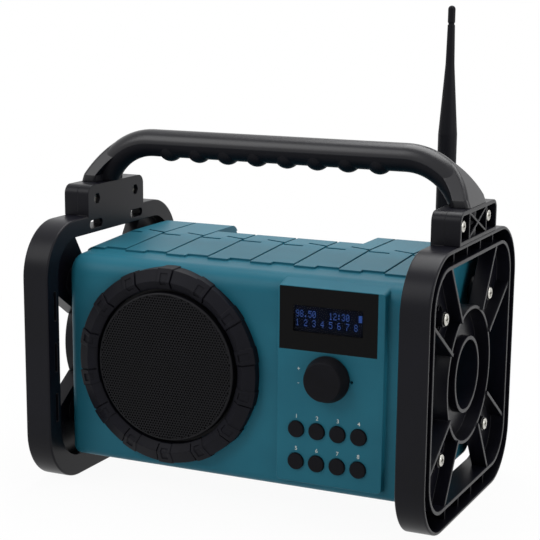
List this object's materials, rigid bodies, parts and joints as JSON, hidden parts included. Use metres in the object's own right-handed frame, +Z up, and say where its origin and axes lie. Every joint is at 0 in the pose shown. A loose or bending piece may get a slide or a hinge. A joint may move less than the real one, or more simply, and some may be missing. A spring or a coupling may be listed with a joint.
{
  "type": "jobsite radio",
  "caption": "Jobsite radio with a teal body in two black crash frames, bent carry handle, round speaker, display, volume knob, buttons and a folding whip antenna.",
  "frame": {"origin": "on the floor, under the middle of the two side frames", "axes": "+X to the right as the front is looked at, +Y to the rear, +Z up"},
  "size_m": [0.305, 0.1942, 0.346],
  "materials": {
    "teal_plastic": "satin moulded ABS",
    "black_plastic": "satin moulded ABS",
    "black_rubber": "matte moulded rubber",
    "black_gloss": "gloss",
    "window_clear": "smoked gloss",
    "lcd_glass": "gloss",
    "nickel_steel": "nickel plated",
    "board_green": "solder mask",
    "grille_black": "powder coated steel",
    "speaker_cloth": "black woven cloth",
    "cone_paper": "pressed paper",
    "ferrite": "sintered ferrite",
    "copper_wire": "enamelled",
    "contact_brass": "plated",
    "cell_label": "plain shrink sleeve",
    "gasket_grey": "soft foam rubber",
    "metal_can": "tinned"
  },
  "bodies": {
    "chassis": {"side_frame_right": "black_plastic", "side_frame_left": "black_plastic", "handle_clamp_right": "black_plastic", "handle_clamp_left": "black_plastic", "frame_screws": "nickel_steel", "clamp_screws": "nickel_steel", "clamp_nuts": "nickel_steel", "handle_top_shell": "black_plastic", "handle_grip": "black_rubber", "front_shell": "teal_plastic", "rear_shell": "teal_plastic", "shell_gasket": "gasket_grey", "shell_screws": "nickel_steel", "speaker_ring": "black_rubber", "speaker_grille": "grille_black", "grille_cloth": "speaker_cloth", "speaker_gasket": "gasket_grey", "speaker_basket": "grille_black", "speaker_magnet": "ferrite", "speaker_cone": "cone_paper", "dust_cap": "cone_paper", "voice_coil": "copper_wire", "speaker_screws": "nickel_steel", "display_window": "window_clear", "lcd_module": "lcd_glass", "control_board": "board_green", "volume_encoder": "metal_can", "tact_switches": "black_plastic", "microphone": "metal_can", "battery_tray": "black_plastic", "battery_cells": "cell_label", "battery_contacts": "contact_brass", "door_hinge_pin": "nickel_steel", "main_board": "board_green", "tuner_module": "metal_can", "board_screws": "nickel_steel", "socket_panel": "black_plastic", "aux_jack": "black_plastic", "dc_jack": "black_plastic", "cover_anchor": "black_rubber", "antenna_socket": "metal_can", "antenna_nut": "nickel_steel"},
    "volume_knob_body": {"knob_shaft": "nickel_steel", "volume_knob": "black_gloss"},
    "antenna_base": {"antenna_knuckle": "metal_can", "antenna_pin": "nickel_steel"},
    "antenna_mast": {"antenna_whip": "black_rubber"},
    "battery_door_body": {"battery_door": "teal_plastic"},
    "socket_cover_body": {"socket_cover": "black_rubber"},
    "button_1_body": {"button_1": "black_rubber"},
    "button_2_body": {"button_2": "black_rubber"},
    "button_3_body": {"button_3": "black_rubber"},
    "button_4_body": {"button_4": "black_rubber"},
    "button_5_body": {"button_5": "black_rubber"},
    "button_6_body": {"button_6": "black_rubber"},
    "button_7_body": {"button_7": "black_rubber"},
    "button_8_body": {"button_8": "black_rubber"}
  },
  "joints": [
    {"name": "volume_turn", "type": "hinge", "parent": "chassis", "child": "volume_knob_body", "pos_m": [0.0745, -0.0814, 0.1018], "axis": [0, 1, 0], "continuous": true},
    {"name": "antenna_swivel", "type": "hinge", "parent": "chassis", "child": "antenna_base", "pos_m": [0.0993, 0.087, 0.158], "axis": [0, 1, 0], "range_deg": [-90, 0]},
    {"name": "antenna_tilt", "type": "hinge", "parent": "antenna_base", "child": "antenna_mast", "pos_m": [0.0993, 0.087, 0.158], "axis": [-1, 0, 0], "range_deg": [0, 90]},
    {"name": "battery_door_hinge", "type": "hinge", "parent": "chassis", "child": "battery_door_body", "pos_m": [0, 0.0812, 0.12705], "axis": [1, 0, 0], "range_deg": [0, 95]},
    {"name": "socket_cover_hinge", "type": "hinge", "parent": "chassis", "child": "socket_cover_body", "pos_m": [-0.102, 0.08, 0.101], "axis": [1, 0, 0], "range_deg": [0, 110]},
    {"name": "button_1_press", "type": "slide", "parent": "chassis", "child": "button_1_body", "axis": [0, 1, 0], "range_m": [0, 0.0008], "stiffness_N_per_m": 800, "springref_m": -0.0005},
    {"name": "button_2_press", "type": "slide", "parent": "chassis", "child": "button_2_body", "axis": [0, 1, 0], "range_m": [0, 0.0008], "stiffness_N_per_m": 800, "springref_m": -0.0005},
    {"name": "button_3_press", "type": "slide", "parent": "chassis", "child": "button_3_body", "axis": [0, 1, 0], "range_m": [0, 0.0008], "stiffness_N_per_m": 800, "springref_m": -0.0005},
    {"name": "button_4_press", "type": "slide", "parent": "chassis", "child": "button_4_body", "axis": [0, 1, 0], "range_m": [0, 0.0008], "stiffness_N_per_m": 800, "springref_m": -0.0005},
    {"name": "button_5_press", "type": "slide", "parent": "chassis", "child": "button_5_body", "axis": [0, 1, 0], "range_m": [0, 0.0008], "stiffness_N_per_m": 800, "springref_m": -0.0005},
    {"name": "button_6_press", "type": "slide", "parent": "chassis", "child": "button_6_body", "axis": [0, 1, 0], "range_m": [0, 0.0008], "stiffness_N_per_m": 800, "springref_m": -0.0005},
    {"name": "button_7_press", "type": "slide", "parent": "chassis", "child": "button_7_body", "axis": [0, 1, 0], "range_m": [0, 0.0008], "stiffness_N_per_m": 800, "springref_m": -0.0005},
    {"name": "button_8_press", "type": "slide", "parent": "chassis", "child": "button_8_body", "axis": [0, 1, 0], "range_m": [0, 0.0008], "stiffness_N_per_m": 800, "springref_m": -0.0005}
  ]
}
